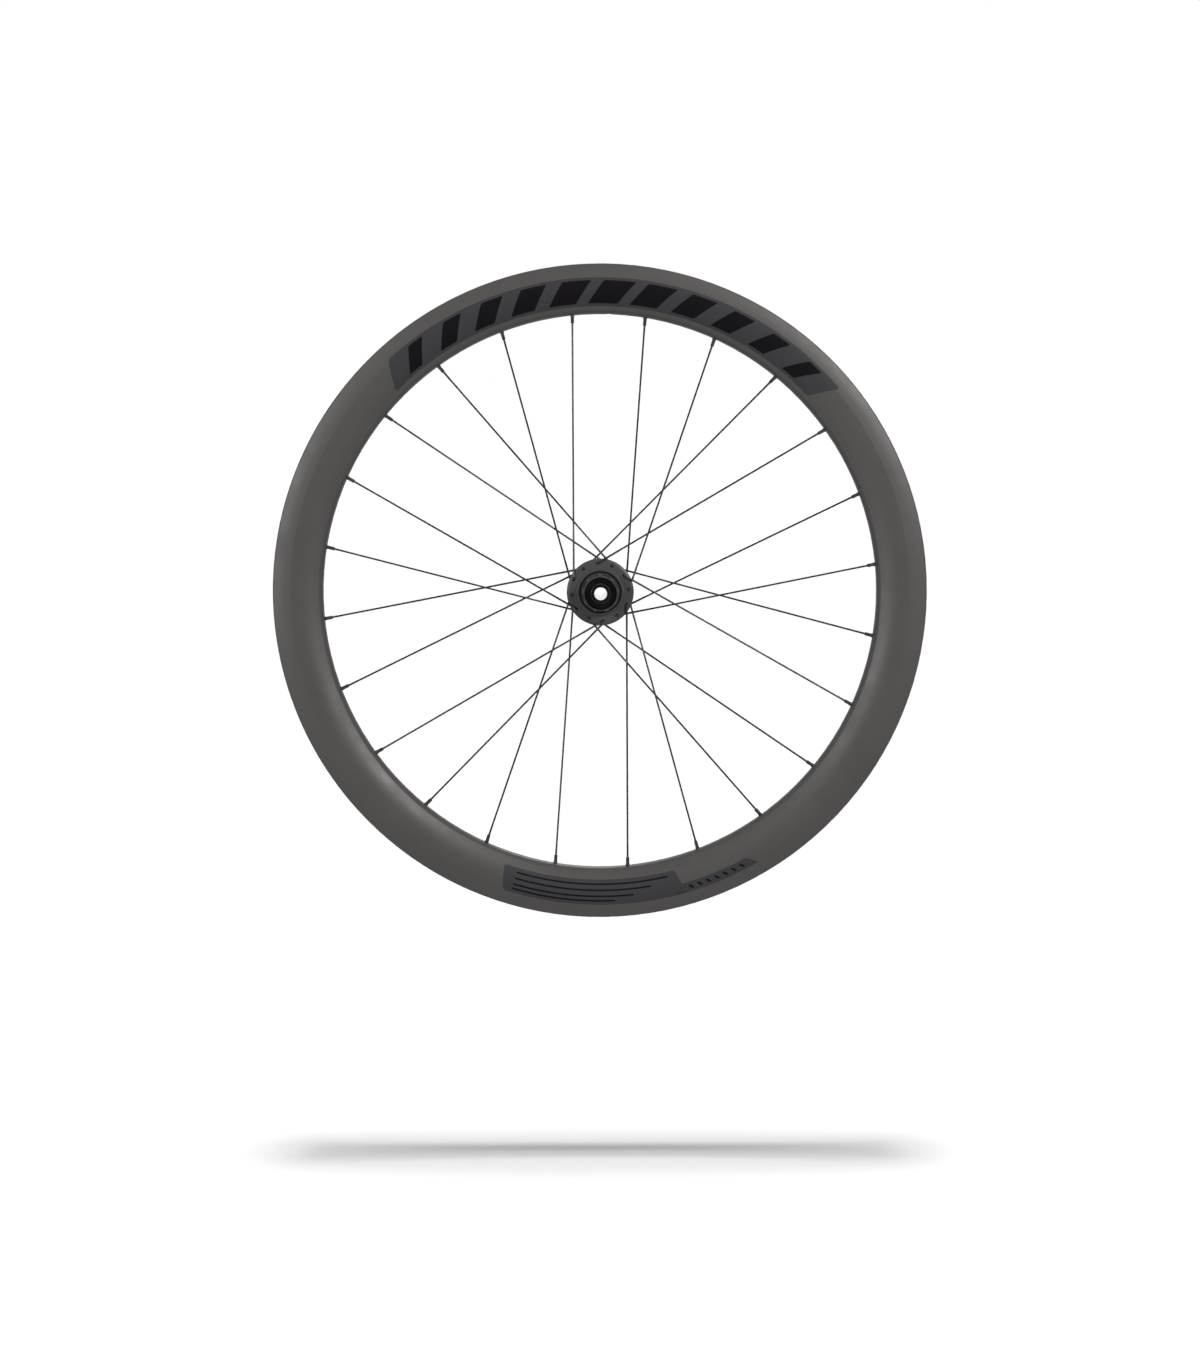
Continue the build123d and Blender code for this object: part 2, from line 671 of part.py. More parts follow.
# Axle: a tube with a shoulder between the hub bearings, with a spacer on each side of the next bearing
shoulder = axle_radius + axle_shoulder_height
nodes["axle"] = turned(
    (axle_bore, -axle_end),
    (axle_radius, -axle_end),
    (axle_radius, drive_bearing_end),
    (shoulder, drive_bearing_end),
    (shoulder, disc_bearing_start),
    (axle_radius, disc_bearing_start),
    (axle_radius, axle_end),
    (axle_bore, axle_end),
)
spacer_in = axle_radius + seat_gap
inner_seat = freehub_seat_end - freehub_bearing_width
outer_seat = lockring_floor + freehub_bearing_width
for name, start, end in (
    ("hub_spacer", freehub_seat_end, ratchet_inner_end),
    ("freehub_spacer", outer_seat, inner_seat),
):
    nodes[name] = turned((spacer_in, start), (spacer_radius, start), (spacer_radius, end), (spacer_in, end))

# End caps: pushed onto the axle over an O-ring, with the faces that the frame's drop-outs clamp
cap_radius = axle_radius + end_cap_wall
foot = axle_radius + end_cap_foot_wall
o_ring_radius = axle_radius + o_ring_thickness / 2
o_rings = []
for name, way, start in (("drive_end_cap", -1, -lockring_floor), ("disc_end_cap", 1, rotor_seat)):
    groove_near = axle_end - o_ring_depth - o_ring_thickness
    groove_far = axle_end - o_ring_depth
    o_ring_out = axle_radius + o_ring_thickness + seat_gap
    corners = (
        (spacer_in, start),
        (foot, start),
        (foot, start + end_cap_foot_length),
        (cap_radius, start + end_cap_foot_length, end_cap_foot_rounding),
        (cap_radius, cap_face, end_cap_chamfer),
        (axle_bore + end_cap_chamfer, cap_face),
        (axle_bore, cap_face - end_cap_chamfer),
        (axle_bore, axle_end + seat_gap),
        (spacer_in, axle_end + seat_gap),
        (spacer_in, groove_far + seat_gap),
        (o_ring_out, groove_far + seat_gap),
        (o_ring_out, groove_near - seat_gap),
        (spacer_in, groove_near - seat_gap),
    )
    nodes[name] = turned(*[(corner[0], way * corner[1], *corner[2:]) for corner in corners])
    ring_middle = (groove_near + groove_far) / 2
    o_rings.append(turned_ring(o_ring_radius, o_ring_thickness / 2 - seat_gap, way * ring_middle))
nodes["end_cap_o_rings"] = Compound(children=o_rings)

# Bearings: two in the shell and two in the freehub
hub_bearing = (hub_bearing_radius, hub_bearing_width, hub_ball_diameter, hub_ball_count)
freehub_bearing = (freehub_bearing_radius, freehub_bearing_width, freehub_ball_diameter, freehub_ball_count)
make_bearing("drive_bearing", ratchet_inner_end, *hub_bearing)
make_bearing("disc_bearing", disc_bearing_start, *hub_bearing)
make_bearing("freehub_inner_bearing", inner_seat, *freehub_bearing)
make_bearing("freehub_outer_bearing", lockring_floor, *freehub_bearing)

os.makedirs("parts", exist_ok=True)
for name, shape in nodes.items():
    export_step(shape, f"parts/{name}.step")
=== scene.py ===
import bpy
import numpy as np
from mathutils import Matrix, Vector


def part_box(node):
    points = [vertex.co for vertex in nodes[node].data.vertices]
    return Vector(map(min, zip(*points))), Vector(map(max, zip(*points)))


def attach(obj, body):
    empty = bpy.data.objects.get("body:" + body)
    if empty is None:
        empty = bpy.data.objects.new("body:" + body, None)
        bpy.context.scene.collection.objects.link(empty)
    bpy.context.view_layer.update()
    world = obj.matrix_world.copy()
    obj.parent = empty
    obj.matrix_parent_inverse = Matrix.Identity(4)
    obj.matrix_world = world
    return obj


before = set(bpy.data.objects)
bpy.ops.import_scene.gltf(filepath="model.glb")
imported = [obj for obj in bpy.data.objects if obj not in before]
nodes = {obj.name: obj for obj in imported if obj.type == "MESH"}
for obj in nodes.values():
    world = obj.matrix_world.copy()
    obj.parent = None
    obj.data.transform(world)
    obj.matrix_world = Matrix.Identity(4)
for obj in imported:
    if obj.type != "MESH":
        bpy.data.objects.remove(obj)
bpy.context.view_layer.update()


# The rim is one hollow moulding of carbon fibre, deep and rounded at the spoke side, with a hooked
# channel for the tyre. It is sprayed dark grey and finished in a satin clear lacquer, which shows a
# fine grain, faint circular fibre streaks and the slight waviness of sprayed lacquer.
lacquer_grey = (0.0485, 0.0447, 0.0446)
lacquer_roughness = 0.4
lacquer_specular = 0.32
lacquer_shine_scale = 45
shine_spread = 0.04
speckle_scale, speckle_spread = 2600, 0.05
fibre_across, fibre_along, fibre_spread = 1400, 9, 0.02
slow_scale, slow_spread = 16, 0.03
peel_scale, peel_strength, peel_height = 750, 0.05, 0.0003
noise_low, noise_high = 0.3, 0.7
noise_detail = 2.0


def start_material(name, roughness, specular, metallic=0.0):
    """New material with its shader's plain values, a function that adds a node and one that joins
    an output to the shader. A node's inputs go by name, or by number as n0, n1 and so on, and each
    is a value or another node's output."""
    material = bpy.data.materials.new(name)
    material.use_nodes = True
    tree = material.node_tree
    shader = tree.nodes["Principled BSDF"]
    shader.inputs["Roughness"].default_value = roughness
    shader.inputs["Metallic"].default_value = metallic
    shader.inputs["Specular IOR Level"].default_value = specular

    def add(kind, settings=None, **inputs):
        node = tree.nodes.new(kind)
        for key, value in (settings or {}).items():
            setattr(node, key, value)
        for key, value in inputs.items():
            which = int(key[1:]) if key[0] == "n" else key
            if hasattr(value, "is_output"):
                tree.links.new(value, node.inputs[which])
            else:
                node.inputs[which].default_value = value
        return node

    def join(output, socket_name):
        tree.links.new(output, shader.inputs[socket_name])

    return material, add, join


def wheel_coordinates(add):
    """Object coordinates, distance from the axle, angle round it in radians, and place along it."""
    place = add("ShaderNodeTexCoord").outputs["Object"]
    x, y, z = add("ShaderNodeSeparateXYZ", n0=place).outputs
    flat = add("ShaderNodeCombineXYZ", n0=x, n2=z).outputs[0]
    radius = add("ShaderNodeVectorMath", {"operation": "LENGTH"}, n0=flat).outputs["Value"]
    angle = add("ShaderNodeMath", {"operation": "ARCTAN2"}, n0=z, n1=x).outputs[0]
    return place, radius, angle, y


def worked_out(add, operation, first, second):
    """Sum or product of two values."""
    return add("ShaderNodeMath", {"operation": operation}, n0=first, n1=second).outputs[0]


def grain(add, place, scale):
    """Noise from 0 to 1 at a scale in lumps per metre."""
    noise = add("ShaderNodeTexNoise", Vector=place, Scale=scale, Detail=noise_detail)
    return noise.outputs["Fac"]


def streaks(add, radius, angle, across, along):
    """Noise drawn out round the axle, with so many lumps per metre across and per radian along."""
    fine = worked_out(add, "MULTIPLY", radius, across)
    drawn_out = worked_out(add, "MULTIPLY", angle, along)
    drawn = add("ShaderNodeCombineXYZ", n0=fine, n1=drawn_out).outputs[0]
    return grain(add, drawn, 1.0)


def ramp(add, value, start, end, before, after):
    """Goes evenly from one level to another while a value goes from start to end."""
    levels = add("ShaderNodeMapRange", n0=value, n1=start, n2=end, n3=before, n4=after)
    return levels.outputs["Result"]


def around(add, noise, middle, spread):
    """Spreads a noise's middle part, noise_low to noise_high, evenly to both sides of a value."""
    return ramp(add, noise, noise_low, noise_high, middle - spread, middle + spread)


def toned(add, colour, *shares):
    """Colour multiplied by the product of the given shares."""
    total = shares[0]
    for share in shares[1:]:
        total = worked_out(add, "MULTIPLY", total, share)
    tone = add("ShaderNodeVectorMath", {"operation": "SCALE"}, n0=colour, Scale=total)
    return tone.outputs["Vector"]


def bumped(add, height, strength, distance):
    """Normal of a surface whose height, 0 to 1, stands for a distance in metres."""
    bump = add("ShaderNodeBump", Strength=strength, Distance=distance, Height=height)
    return bump.outputs["Normal"]


def lay_lacquer(add, join, place, roughness, shine_scale):
    """Satin lacquer over any colour: shine that varies slowly, and orange peel."""
    join(around(add, grain(add, place, shine_scale), roughness, shine_spread), "Roughness")
    join(bumped(add, grain(add, place, peel_scale), peel_strength, peel_height), "Normal")


def satin_lacquer():
    """Dark grey under satin lacquer: fine grain, faint fibre streaks and a slow change of tone."""
    material, add, join = start_material("satin_lacquer", lacquer_roughness, lacquer_specular)
    place, radius, angle, _ = wheel_coordinates(add)
    speckle = around(add, grain(add, place, speckle_scale), 1, speckle_spread)
    fibre = around(add, streaks(add, radius, angle, fibre_across, fibre_along), 1, fibre_spread)
    slow = around(add, grain(add, place, slow_scale), 1, slow_spread)
    join(toned(add, lacquer_grey, speckle, fibre, slow), "Base Color")
    lay_lacquer(add, join, place, lacquer_roughness, lacquer_shine_scale)
    return material


def dress(material, *names):
    """Gives CAD nodes a material in place of their plain one."""
    for name in names:
        nodes[name].data.materials.clear()
        nodes[name].data.materials.append(material)


dress(satin_lacquer(), "rim")


# Two thin printed films lie under the lacquer of the drive side: a long one at the top with a row
# of slanted bars, and a shorter one at the bottom with fine stripes. They are slightly blue dark
# grey, printed in black, and follow the moulded side of the rim.
rim_half_width = 0.014
widest_radius = 0.300
side_curve = 0.05508
lip_curve = 0.08585
film_grey = (0.0288, 0.0288, 0.0322)
print_black = (0.003, 0.0024, 0.0034)
film_shine_scale = 60
film_lift = 0.00006
print_lift = 0.00011
edge_slope = 0.00005
film_corner = 0.003
sharp_edge_angle = 0.6


def on_rim_side(angle, radius, lift):
    """Point on the drive side of the rim: the side is two arcs that meet at the widest radius, one
    of side_curve towards the spokes and one of lip_curve towards the lip, turned about the axle;
    lift moves the point out along the arc's radius."""
    curve = np.where(radius > widest_radius, lip_curve, side_curve)
    across = np.arcsin((radius - widest_radius) / curve)
    reach = widest_radius + (curve + lift) * np.sin(across)
    place = rim_half_width - curve + (curve + lift) * np.cos(across)
    return np.stack([reach * np.cos(angle), -place, reach * np.sin(angle)], axis=-1)


def slanted_patch(start, end, low, high, slant, corner, lift, columns, rows):
    """Film patch between two angles and two radii, in degrees and metres. Its ends lean by slant
    degrees over its height, its corners are rounded by corner metres, with rows closest together
    there, and its outermost ring of points slopes out and down into the rim so that the film has no
    open edge."""
    height = high - low
    length = np.radians(end - start) * (low + high) / 2
    u_slope = edge_slope / length
    v_slope = edge_slope / height
    even = np.linspace(0.0, 1.0, columns)
    crowded = 0.5 - 0.5 * np.cos(np.linspace(0.0, np.pi, rows))
    u = np.concatenate([[-u_slope], even, [1 + u_slope]])
    v = np.concatenate([[-v_slope], crowded, [1 + v_slope]])
    u, v = np.meshgrid(u, v)
    from_edge = np.minimum(v, 1 - v) * height
    into_corner = np.maximum(corner - from_edge, 0)
    inset = corner - np.sqrt(np.maximum(corner**2 - into_corner**2, 0))
    share = inset / length
    along = share + u * (1 - 2 * share)
    angle = np.radians(start + along * (end - start) + slant * (v - 0.5))
    radius = low + v * height
    raised = np.full(u.shape, lift)
    raised[[0, -1], :] = -film_lift
    raised[:, [0, -1]] = -film_lift
    return on_rim_side(angle, radius, raised)


def grid_faces(corner):
    """Quads between neighbouring rows and columns of a grid of point numbers."""
    quads = [corner[:-1, :-1], corner[1:, :-1], corner[1:, 1:], corner[:-1, 1:]]
    return np.stack(quads, axis=-1).reshape(-1, 4).tolist()


def join_patches(*patches):
    """Points and quads of several grids as one mesh."""
    points = []
    faces = []
    count = 0
    for patch in patches:
        rows, columns = patch.shape[:2]
        points.append(patch.reshape(-1, 3))
        faces += grid_faces(np.arange(rows * columns).reshape(rows, columns) + count)
        count += rows * columns
    return np.concatenate(points), faces


def make_piece(name, points, faces, material, body, slot):
    """Smooth mesh from an array of points and a list of faces, riding on a body."""
    mesh = bpy.data.meshes.new(name)
    mesh.from_pydata(points.reshape(-1, 3), [], faces)
    mesh.shade_smooth()
    mesh.set_sharp_from_angle(angle=sharp_edge_angle)
    mesh.materials.append(material)
    piece = bpy.data.objects.new(name, mesh)
    bpy.context.scene.collection.objects.link(piece)
    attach(piece, body)


def printed_film(name, colour, roughness, specular):
    """Film or print under lacquer: even colour with a fine grain and the lacquer's own waviness."""
    material, add, join = start_material(name, roughness, specular)
    place = wheel_coordinates(add)[0]
    speckle = around(add, grain(add, place, speckle_scale), 1, speckle_spread)
    join(toned(add, colour, speckle), "Base Color")
    lay_lacquer(add, join, place, roughness, film_shine_scale)
    return material


film = printed_film("print_film", film_grey, roughness=0.42, specular=0.15)
ink = printed_film("print_ink", print_black, roughness=0.4, specular=0.06)

top_start, top_end = 41.8, 134.0
top_low, top_high = 0.2762, 0.3033
top_slant = -3.2
top_film = slanted_patch(
    top_start, top_end, top_low, top_high,
    slant=top_slant, corner=film_corner, lift=film_lift, columns=220, rows=30,
)
make_piece("top_film", *join_patches(top_film), film, "wheel", "rim_satin")

bar_count = 11
bar_margin = 0.0026
bar_end_room = 4.0
bar_fill = 0.74
bar_fill_loss = 0.07
bar_corner = 0.001
bar_middle = (top_start + top_end) / 2
bar_pitch = (top_end - top_start - bar_end_room) / bar_count
bars = []
for index in range(bar_count):
    from_middle = index - (bar_count - 1) / 2
    width = bar_pitch * (bar_fill - bar_fill_loss * abs(from_middle))
    middle = bar_middle + from_middle * bar_pitch
    bars.append(slanted_patch(
        middle - width / 2, middle + width / 2, top_low + bar_margin, top_high - bar_margin,
        slant=top_slant, corner=bar_corner, lift=print_lift, columns=16, rows=22,
    ))
make_piece("top_bars", *join_patches(*bars), ink, "wheel", "rim_satin")

low_start, low_end, low_tail = 251.2, 285.5, 299.6
low_low, low_high = 0.2805, 0.3045
low_slant = 1.2
tail_low = 0.2950
tail_overlap = 2.0
tail_slant = 1.6
tail_corner = 0.0012
low_film = slanted_patch(
    low_start, low_end, low_low, low_high,
    slant=low_slant, corner=film_corner, lift=film_lift, columns=100, rows=26,
)
low_film_tail = slanted_patch(
    low_end - tail_overlap, low_tail, tail_low, low_high,
    slant=tail_slant, corner=tail_corner, lift=film_lift, columns=50, rows=18,
)
make_piece("low_film", *join_patches(low_film, low_film_tail), film, "wheel", "rim_satin")

stripe_heights = (0.18, 0.42, 0.66, 0.84)
stripe_shortening = (0.0, 3.5, 7.0, 10.5)
stripe_width = 0.0016
stripe_end_room = 2.2
stripe_slant = 0.1
stripe_corner = 0.0005
tick_count = 7
tick_start = 1.4
tick_pitch = 1.7
tick_width = 0.55
tick_margin = 0.0028
tick_slant = 0.6
tick_corner = 0.0003
stripes = []
for share, cut in zip(stripe_heights, stripe_shortening):
    radius = low_low + share * (low_high - low_low)
    stripes.append(slanted_patch(
        low_start + stripe_end_room, low_end - stripe_end_room - cut,
        radius - stripe_width / 2, radius + stripe_width / 2,
        slant=stripe_slant, corner=stripe_corner, lift=print_lift, columns=90, rows=4,
    ))
for index in range(tick_count):
    tick = low_end + tick_start + tick_pitch * index
    stripes.append(slanted_patch(
        tick, tick + tick_width, tail_low + tick_margin, low_high - tick_margin,
        slant=tick_slant, corner=tick_corner, lift=print_lift, columns=5, rows=6,
    ))
make_piece("low_stripes", *join_patches(*stripes), ink, "wheel", "rim_satin")


# The spokes are drawn stainless steel wire, thick at both ends and thinner between, with a rolled
# thread and a cold-formed head and elbow. A black oxide leaves them dark with a low metallic shine.
spoke_black = (0.0078, 0.0064, 0.0056)
mottle_scale = 900
dull_scale, dull_spread = 300, 0.06
pit_scale, pit_strength, pit_height = 3000, 0.06, 0.0001


def grained_finish(name, colour, roughness, specular, wear):
    """Even finish with a fine grain: its tone varies by the share wear, its shine is uneven, and it
    has fine pits."""
    material, add, join = start_material(name, roughness, specular)
    place = wheel_coordinates(add)[0]
    mottle = around(add, grain(add, place, mottle_scale), 1, wear)
    join(toned(add, colour, mottle), "Base Color")
    join(around(add, grain(add, place, dull_scale), roughness, dull_spread), "Roughness")
    join(bumped(add, grain(add, place, pit_scale), pit_strength, pit_height), "Normal")
    return material


spoke_names = [name for name in nodes if name.startswith("spoke_")]
spoke_finish = grained_finish(
    "black_oxide_wire", spoke_black, roughness=0.2, specular=0.34, wear=0.15
)
dress(spoke_finish, *spoke_names)


# The nipples are small aluminium nuts, turned and milled with four flats for the wrench, and
# anodised black. Each sits in the rim and is screwed onto its spoke.
nipple_black = (0.017, 0.016, 0.016)
nipple_finish = grained_finish(
    "black_anodised_nipple", nipple_black, roughness=0.24, specular=0.34, wear=0.12
)
dress(nipple_finish, "nipples")


# The hub shell is turned from one bar of aluminium, with a flange for each row of spokes, and bead
# blasted and anodised dark grey. Fine turning marks still show through the matte finish.
hub_grey = (0.045, 0.0437, 0.046)
ring_across, ring_along, ring_spread = 5200, 1.2, 0.06
blast_scale, blast_spread = 4200, 0.05
ring_shine_spread = 0.05
mark_height = 0.0001


def turned_anodised(name, colour, roughness, specular, marks, metallic=0.0, painted_shade=None):
    """Turned metal: fine rings round the axle in tone, shine and height, over a blasted grain. The
    rings are noise along the sum of radius and place on the axle, so they show on faces and barrels
    alike. A painted shade, given as two radii and two shares, changes the tone from one share to
    the other between those radii."""
    material, add, join = start_material(name, roughness, specular, metallic)
    place, radius, angle, y = wheel_coordinates(add)
    rings = streaks(add, worked_out(add, "ADD", radius, y), angle, ring_across, ring_along)
    blast = grain(add, place, blast_scale)
    tones = [around(add, rings, 1, ring_spread), around(add, blast, 1, blast_spread)]
    if painted_shade:
        tones.append(ramp(add, radius, *painted_shade))
    join(toned(add, colour, *tones), "Base Color")
    join(around(add, rings, roughness, ring_shine_spread), "Roughness")
    join(bumped(add, worked_out(add, "ADD", rings, blast), marks, mark_height), "Normal")
    return material


hub_finish = turned_anodised(
    "hub_matte_anodised", hub_grey, roughness=0.38, specular=0.24, marks=0.08
)
dress(hub_finish, "hub_shell")


# The freehub body is a turned and milled aluminium sleeve with nine ribs for the cassette, anodised
# black. Its open mouth has a fine thread for the lockring that holds the cassette. Inside the
# mouth the tone is cut almost to black, a painted shade for the deep recess.
freehub_black = (0.045, 0.044, 0.0475)
mouth_radius = 0.01525
mouth_edge = 0.0003
# Share of the tone left inside the mouth: painted shade for the deep recess.
mouth_painted_shade = 0.06
lockring_depth = 0.0084
lockring_relief = 0.0012
thread_lead = 0.0008
thread_pitch = 0.001
thread_depth = 0.0005
thread_foot = 0.00005
thread_end_share = 0.05
run_out_turns = 0.5
steps_per_turn = 96

# Inside the mouth's radius the tone drops to a small share: painted shade, so the recess reads near
# black.
freehub_finish = turned_anodised(
    "freehub_anodised_black", freehub_black, roughness=0.28, specular=0.09, marks=0.06,
    painted_shade=(mouth_radius, mouth_radius + mouth_edge, mouth_painted_shade, 1.0),
)
dress(freehub_finish, "freehub_body")


def screw_thread(radius, start, end):
    """Points and faces of an inner screw thread: a ridge of triangular section carried along a
    helix about the axle. The ridge stands thread_depth in from the bore, its foot is sunk into the
    wall, and it runs out to nothing at both ends, which are closed by a triangle."""
    turns = (end - start) / thread_pitch
    along = np.linspace(0.0, 1.0, int(turns * steps_per_turn) + 1)
    angle = 2 * np.pi * turns * along
    swell = np.clip(np.minimum(along, 1 - along) * turns / run_out_turns, 0.0, 1.0)
    middle = start + (end - start) * along
    foot = np.full_like(along, radius + thread_foot)
    reach = np.stack([foot, radius - thread_depth * swell, foot], axis=1)
    half = 0.5 * thread_pitch * np.maximum(swell, thread_end_share)
    place = np.stack([middle - half, middle, middle + half], axis=1)
    around_axle = angle[:, None]
    points = np.stack([reach * np.cos(around_axle), place, reach * np.sin(around_axle)], axis=-1)
    section = np.arange(points.shape[0] * 3).reshape(-1, 3)
    closed_section = np.concatenate([section, section[:, :1]], axis=1)
    ends = [section[0].tolist(), section[-1][::-1].tolist()]
    return points, grid_faces(closed_section) + ends


freehub_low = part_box("freehub_body")[0]
mouth_floor = freehub_low.y + lockring_depth
lockring_thread = screw_thread(
    mouth_radius, freehub_low.y + thread_lead, mouth_floor - lockring_relief
)
make_piece("lockring_thread", *lockring_thread, freehub_finish, "freehub", "freehub_anodised")


# The rotor side of the shell has the same kind of thread, cut into its open end for the lockring
# that holds a disc rotor. It has the shell's own finish.
rotor_thread_radius = 0.015
rotor_thread_depth = 0.0075
rotor_relief = 0.001

hub_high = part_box("hub_shell")[1]
rotor_floor = hub_high.y - rotor_thread_depth
rotor_thread = screw_thread(
    rotor_thread_radius, rotor_floor + rotor_relief, hub_high.y - thread_lead
)
make_piece("rotor_thread", *rotor_thread, hub_finish, "wheel", "hub_anodised")


# The end caps are turned aluminium, anodised gloss black. They push onto the axle over O-rings, and
# their ring faces stand between the frame's drop-outs. A lighter ring at the outer edge of each
# face is a painted highlight, standing for light caught on the edge's chamfer.
cap_black = (0.0028, 0.0027, 0.0031)
cap_roughness = 0.18
cap_specular = 0.08
cap_ring_spread = 0.1
cap_mark_strength = 0.04
cap_rim_start, cap_rim_end = 0.0087, 0.0092
# How many times lighter the painted highlight at the face's edge is than the cap's black.
cap_highlight_share = 8.0


def cap_with_painted_highlight():
    """Black anodised turned metal, lighter from a radius outwards: a painted highlight at the
    face's edge.
    """
    material, add, join = start_material("cap_anodised_black", cap_roughness, cap_specular)
    _, radius, angle, _ = wheel_coordinates(add)
    rings = streaks(add, radius, angle, ring_across, ring_along)
    # Painted highlight: outside a radius near the face's edge the black is lifted many times over.
    painted_highlight = ramp(add, radius, cap_rim_start, cap_rim_end, 1.0, cap_highlight_share)
    join(toned(add, cap_black, around(add, rings, 1, cap_ring_spread), painted_highlight), "Base Color")
    join(around(add, rings, cap_roughness, shine_spread), "Roughness")
    join(bumped(add, rings, cap_mark_strength, mark_height), "Normal")
    return material


dress(cap_with_painted_highlight(), "drive_end_cap", "disc_end_cap")


# The axle and its two spacers are turned aluminium tube, left bright and polished in the bore. The
# bearings slide onto the axle, and the spacers keep them apart.
axle_silver = (0.86, 0.86, 0.85)
axle_finish = turned_anodised(
    "polished_aluminium", axle_silver, roughness=0.16, specular=0.5, marks=0.04, metallic=1.0
)
dress(axle_finish, "axle", "hub_spacer", "freehub_spacer")


# Bearing balls, ratchet ring, pawls and their spring are hardened steel, ground and polished. The
# ring is screwed into the shell, and the spring holds the pawls up in the freehub's pockets.
steel_grey = (0.52, 0.52, 0.53)
steel_names = [name for name in nodes if name.endswith("_balls")]
steel_names += [name for name in nodes if name.startswith(("ratchet_", "pawl_"))]
steel_finish = turned_anodised(
    "ground_steel", steel_grey, roughness=0.24, specular=0.5, marks=0.05, metallic=1.0
)
dress(steel_finish, *steel_names)


# The bearing races are ground steel, given a near-black tone and little shine: painted shade, so
# that they read dark in the hub's recesses. They are pressed into the shell and the freehub, and
# slide onto the axle.
painted_shade_race_black = (0.0035, 0.0034, 0.0037)
race_names = [name for name in nodes if name.endswith("_race")]
# Near-black races with little shine: painted shade for the recesses they sit in.
race_finish = turned_anodised(
    "black_oxide_races", painted_shade_race_black, roughness=0.25, specular=0.07, marks=0.05
)
dress(race_finish, *race_names)


# The ball cages are moulded nylon, ivory brown with a dull shine. They lie between the races and
# hold the balls apart.
nylon_brown = (0.11, 0.095, 0.07)
cage_names = [name for name in nodes if name.endswith("_cage")]
cage_finish = grained_finish("cage_nylon", nylon_brown, roughness=0.5, specular=0.4, wear=0.08)
dress(cage_finish, *cage_names)


# Bearing seals, the freehub seal and the end-cap O-rings are black rubber, matte with a fine bloom.
# They are moulded rings, pressed into their seats.
rubber_black = (0.0042, 0.0041, 0.0044)
rubber_names = [name for name in nodes if name.endswith("_seals")]
rubber_names += ["freehub_seal", "end_cap_o_rings"]
rubber_finish = grained_finish(
    "seal_rubber_black", rubber_black, roughness=0.5, specular=0.08, wear=0.12
)
dress(rubber_finish, *rubber_names)


# The floor is a plain pale studio floor below the hanging wheel, which rises gently to the back. To
# the camera it is lit by an overhead lamp of its own, which leaves the wheel's shadow; all other
# rays see it as soft white.
floor_height = -0.545
floor_rise = np.radians(4.0)
floor_reach = 60.0
floor_albedo = 0.9
fill_strength = 0.35
white_strength = 1.0

corner = np.array([[-1, -1], [1, -1], [1, 1], [-1, 1]]) * floor_reach
floor_points = np.column_stack([corner, floor_height + corner[:, 1] * np.tan(floor_rise)])
floor_mesh = bpy.data.meshes.new("studio_floor")
floor_mesh.from_pydata(floor_points, [], [(0, 1, 2, 3)])
floor = bpy.data.objects.new("studio_floor", floor_mesh)
bpy.context.scene.collection.objects.link(floor)

floor_material = bpy.data.materials.new("studio_floor")
floor_material.use_nodes = True
floor_tree = floor_material.node_tree
floor_tree.nodes.clear()
seen = floor_tree.nodes.new("ShaderNodeLightPath")
matt = floor_tree.nodes.new("ShaderNodeBsdfDiffuse")
matt.inputs["Color"].default_value = (floor_albedo, floor_albedo, floor_albedo, 1)
glow = floor_tree.nodes.new("ShaderNodeEmission")
mirrored = floor_tree.nodes.new("ShaderNodeMapRange")
mirrored.inputs["To Min"].default_value = fill_strength
mirrored.inputs["To Max"].default_value = white_strength
choice = floor_tree.nodes.new("ShaderNodeMixShader")
floor_output = floor_tree.nodes.new("ShaderNodeOutputMaterial")
floor_tree.links.new(seen.outputs["Is Glossy Ray"], mirrored.inputs["Value"])
floor_tree.links.new(mirrored.outputs["Result"], glow.inputs["Strength"])
floor_tree.links.new(seen.outputs["Is Camera Ray"], choice.inputs["Fac"])
floor_tree.links.new(glow.outputs[0], choice.inputs[1])
floor_tree.links.new(matt.outputs[0], choice.inputs[2])
floor_tree.links.new(choice.outputs[0], floor_output.inputs["Surface"])
floor_mesh.materials.append(floor_material)


# The studio is a white room: white to the camera, in reflections and through clear pieces, and a
# softer white as fill light.
world = bpy.data.worlds.new("white_studio")
bpy.context.scene.world = world
world.use_nodes = True
sky = world.node_tree
background = sky.nodes["Background"]
background.inputs["Color"].default_value = (1, 1, 1, 1)
ray = sky.nodes.new("ShaderNodeLightPath")
direct = sky.nodes.new("ShaderNodeMath")
shown = sky.nodes.new("ShaderNodeMath")
for either in (direct, shown):
    either.operation = "ADD"
    either.use_clamp = True
level = sky.nodes.new("ShaderNodeMapRange")
level.inputs["To Min"].default_value = fill_strength
level.inputs["To Max"].default_value = white_strength
sky.links.new(ray.outputs["Is Camera Ray"], direct.inputs[0])
sky.links.new(ray.outputs["Is Glossy Ray"], direct.inputs[1])
sky.links.new(direct.outputs[0], shown.inputs[0])
sky.links.new(ray.outputs["Is Transmission Ray"], shown.inputs[1])
sky.links.new(shown.outputs[0], level.inputs["Value"])
sky.links.new(level.outputs["Result"], background.inputs["Strength"])


# Two softboxes stand in front of the wheel, a stronger one at the upper right and a weaker one at
# the left, and a third hangs high behind it; each has its place, width, power and colour. They
# light the wheel alone. The overhead lamp lights the floor alone and casts the rim's shadow.
wheel_lamps = {
    "key_softbox": ((1.28, -2.05, 0.96), 0.7, 43.0, (1.0, 0.975, 0.945)),
    "side_softbox": ((-1.45, -2.1, 0.4), 0.7, 24.0, (1.0, 0.99, 0.975)),
    "back_softbox": ((0.3, 1.6, 2.2), 1.2, 32.0, (1.0, 0.99, 0.975)),
}
shadow_lamp_angle = np.radians(9.0)
shadow_lamp_tilt = np.radians(1.2)
shadow_lamp_strength = 2.52

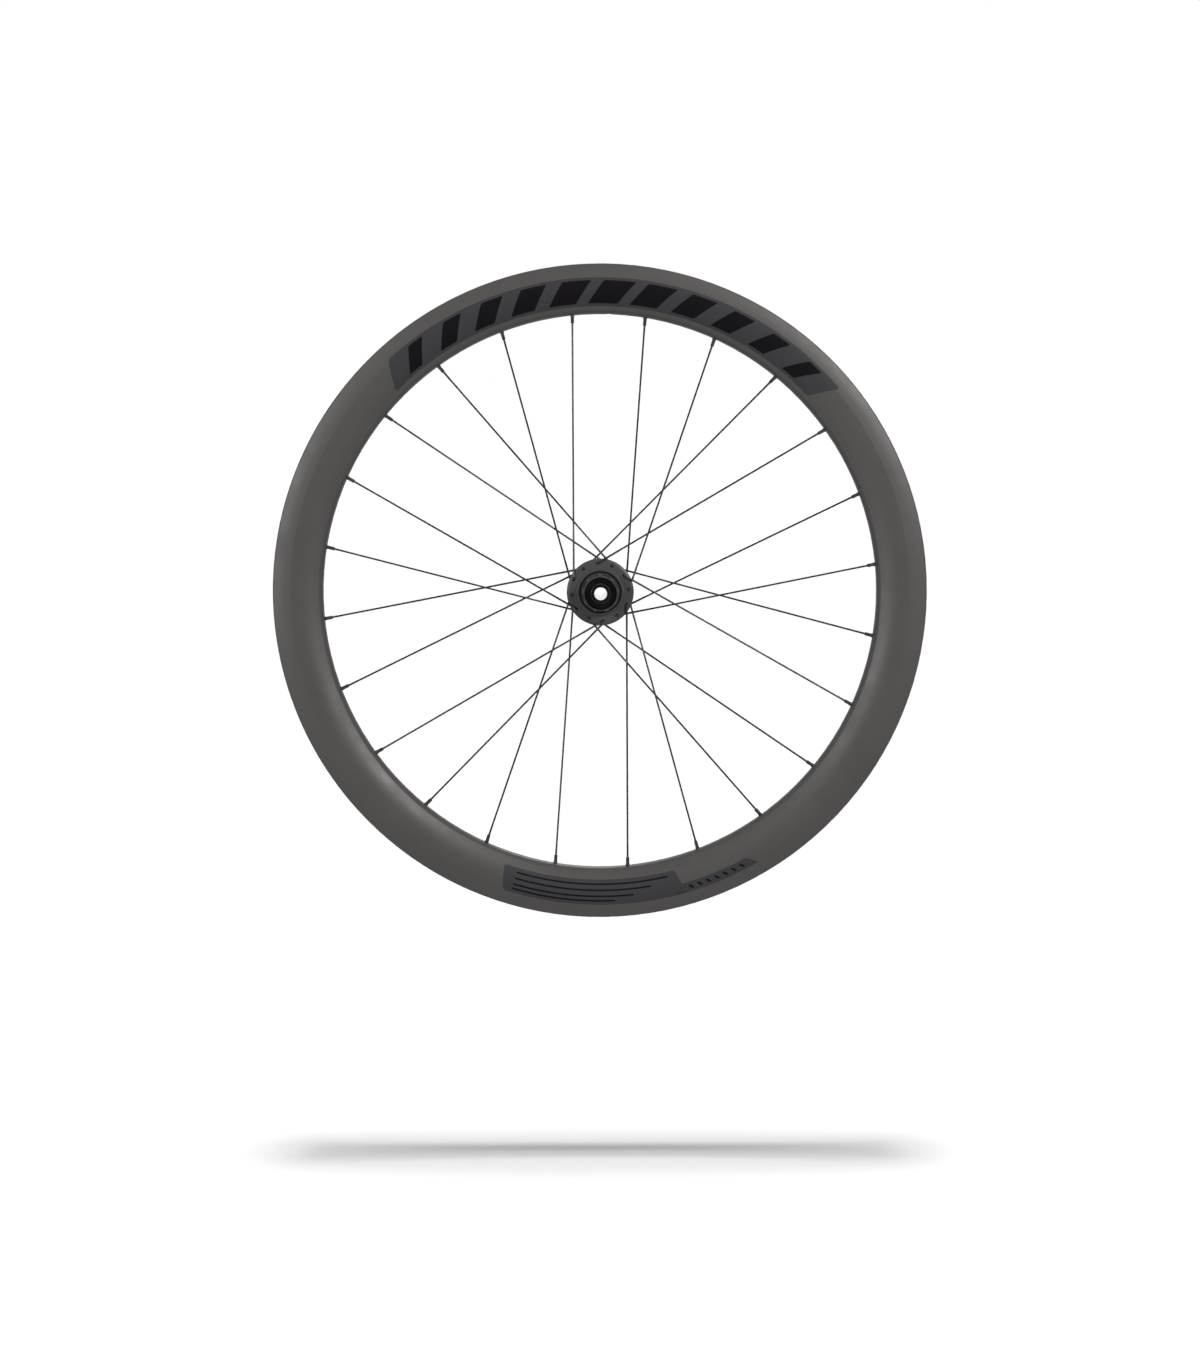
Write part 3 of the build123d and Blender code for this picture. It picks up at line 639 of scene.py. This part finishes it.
unlit_floor = bpy.data.collections.new("unlit_floor")
unlit_floor.objects.link(floor)
unlit_floor.collection_objects[0].light_linking.link_state = "EXCLUDE"
lit_floor = bpy.data.collections.new("lit_floor")
lit_floor.objects.link(floor)
shadow_rim = bpy.data.collections.new("shadow_rim")
shadow_rim.objects.link(nodes["rim"])

for name, (place, width, power, colour) in wheel_lamps.items():
    lamp = bpy.data.lights.new(name, "AREA")
    lamp.shape = "DISK"
    lamp.size = width
    lamp.energy = power
    lamp.color = colour
    holder = bpy.data.objects.new(name, lamp)
    holder.location = place
    holder.rotation_euler = Vector(place).to_track_quat("Z", "Y").to_euler()
    holder.light_linking.receiver_collection = unlit_floor
    bpy.context.scene.collection.objects.link(holder)

overhead = bpy.data.lights.new("overhead_lamp", "SUN")
overhead.angle = shadow_lamp_angle
overhead.energy = shadow_lamp_strength
overhead_holder = bpy.data.objects.new("overhead_lamp", overhead)
overhead_holder.rotation_euler = (-shadow_lamp_tilt, 0, 0)
overhead_holder.light_linking.receiver_collection = lit_floor
overhead_holder.light_linking.blocker_collection = shadow_rim
bpy.context.scene.collection.objects.link(overhead_holder)


# The camera stands square to the drive side, a little above the hub, and frames the wheel above the
# middle of a tall picture.
picture_height = 1350
pixels_per_metre = 1026.6
camera_distance = 2.27
camera_elevation = np.radians(1.95)
camera_azimuth = np.radians(-0.45)
shift_right, shift_up = -0.1, -83.65

camera = bpy.data.cameras.new("camera")
camera.sensor_width = 36.0
camera.lens = pixels_per_metre * camera_distance * camera.sensor_width / picture_height
camera.shift_x = shift_right / picture_height
camera.shift_y = shift_up / picture_height
camera_holder = bpy.data.objects.new("camera", camera)
level_reach = camera_distance * np.cos(camera_elevation)
camera_holder.location = (
    level_reach * np.sin(camera_azimuth),
    -level_reach * np.cos(camera_azimuth),
    camera_distance * np.sin(camera_elevation),
)
camera_holder.rotation_euler = camera_holder.location.to_track_quat("Z", "Y").to_euler()
bpy.context.scene.collection.objects.link(camera_holder)
bpy.context.scene.camera = camera_holder
bpy.context.scene.view_settings.view_transform = "Standard"
